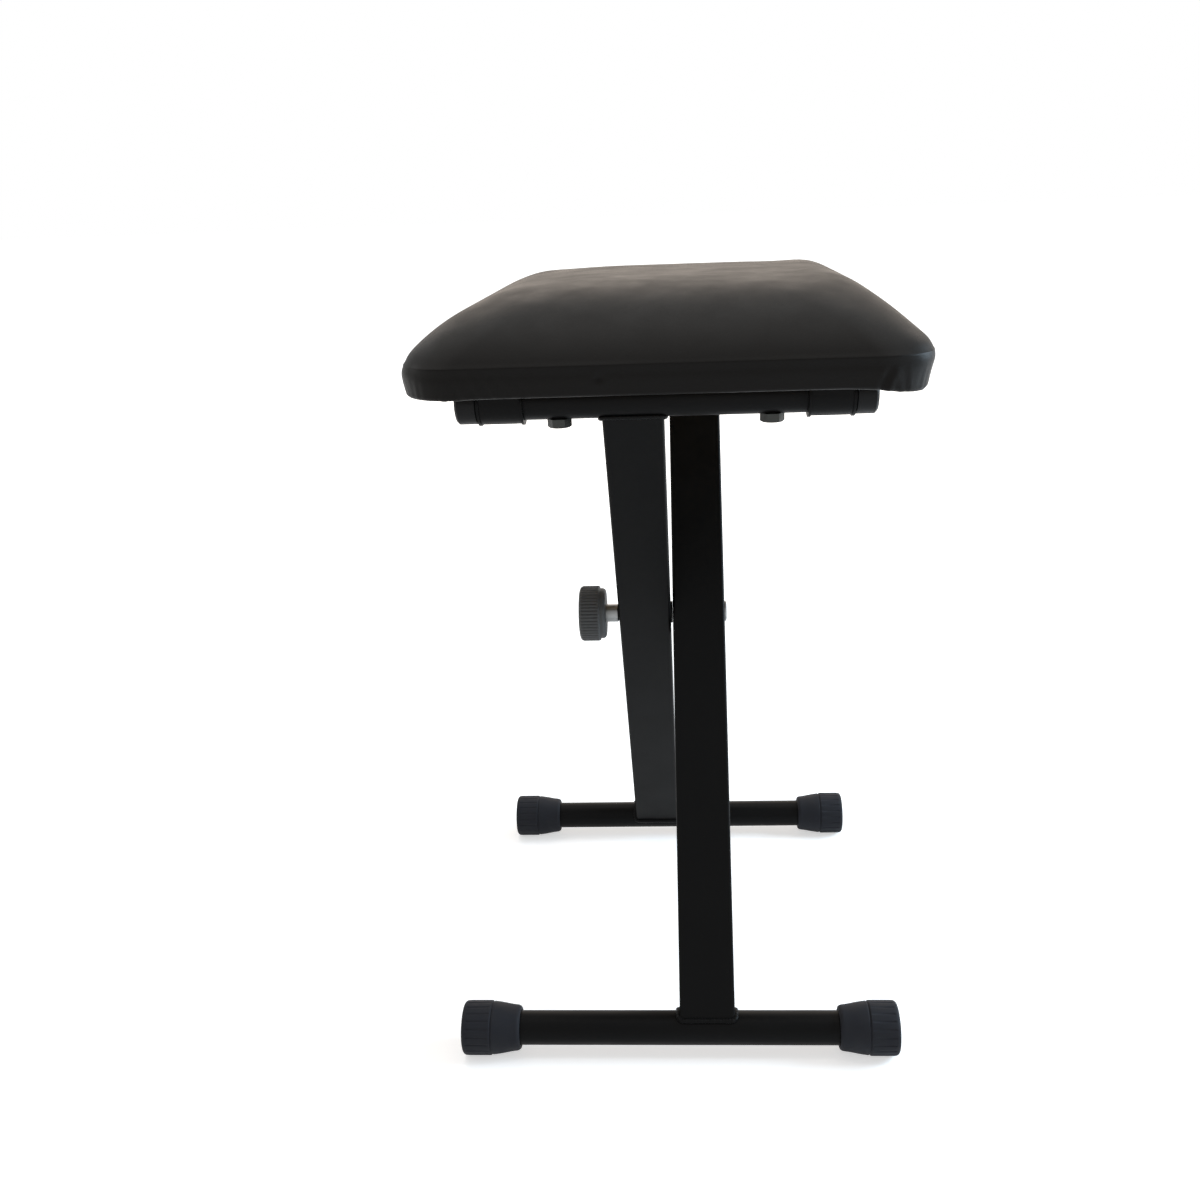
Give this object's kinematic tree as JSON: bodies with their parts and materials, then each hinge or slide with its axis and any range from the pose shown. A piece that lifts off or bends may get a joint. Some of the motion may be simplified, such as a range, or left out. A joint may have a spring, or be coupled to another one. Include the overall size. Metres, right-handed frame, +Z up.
{
  "type": "folding keyboard bench",
  "caption": "Folding keyboard bench: a padded vinyl seat on two crossed T-shaped tube legs, locked by a bolt and hand knob where they cross.",
  "frame": {"origin": "on the floor, at the middle of the bench seen from above", "axes": "+Z up, +X along the floor bars, +Y from the front of the bench to its back"},
  "size_m": [0.302, 0.342, 0.5166],
  "materials": {
    "black_vinyl": "satin",
    "foam": "matte",
    "plywood": "matte",
    "powder_coated_steel": "satin",
    "black_rubber": "matte",
    "black_plastic": "satin",
    "grey_plastic": "matte",
    "zinc_steel": "satin",
    "black_zinc_steel": "satin"
  },
  "bodies": {
    "seat": {"seat_board": "plywood", "seat_foam": "foam", "seat_cover": "black_vinyl", "cover_staples": "zinc_steel", "front_left_strap": "powder_coated_steel", "front_right_strap": "powder_coated_steel", "rear_left_strap": "powder_coated_steel", "rear_right_strap": "powder_coated_steel", "strap_screws": "zinc_steel"},
    "left_leg": {"left_leg_tube": "powder_coated_steel", "left_cross_tube": "powder_coated_steel", "left_floor_bar": "powder_coated_steel", "left_tube_caps": "black_plastic", "left_hex_screws": "black_zinc_steel", "left_welds": "powder_coated_steel", "left_floor_cap_a": "black_rubber", "left_floor_cap_b": "black_rubber", "spacer_washer": "black_plastic"},
    "right_leg": {"right_leg_tube": "powder_coated_steel", "right_cross_tube": "powder_coated_steel", "right_floor_bar": "powder_coated_steel", "right_tube_caps": "black_plastic", "right_hex_screws": "black_zinc_steel", "right_welds": "powder_coated_steel", "right_floor_cap_a": "black_rubber", "right_floor_cap_b": "black_rubber"},
    "knob": {"knob_grip": "grey_plastic", "knob_neck": "zinc_steel", "bolt_threaded_end": "zinc_steel"},
    "bolt": {"bolt_head_end": "zinc_steel"}
  },
  "joints": [
    {"name": "left_leg_fold", "type": "hinge", "parent": "seat", "child": "left_leg", "pos_m": [0, -0.101, 0.448], "axis": [1, 0, 0], "range_deg": [0, 49]},
    {"name": "right_leg_fold", "type": "hinge", "parent": "seat", "child": "right_leg", "pos_m": [0, 0.101, 0.448], "axis": [-1, 0, 0], "range_deg": [0, 49]},
    {"name": "knob_turn", "type": "hinge", "parent": "left_leg", "child": "knob", "pos_m": [-0.04875, 0, 0.27205], "axis": [1, 0, 0], "continuous": true},
    {"name": "bolt_pull", "type": "slide", "parent": "right_leg", "child": "bolt", "axis": [1, 0, 0], "range_m": [0, 0.045]}
  ]
}
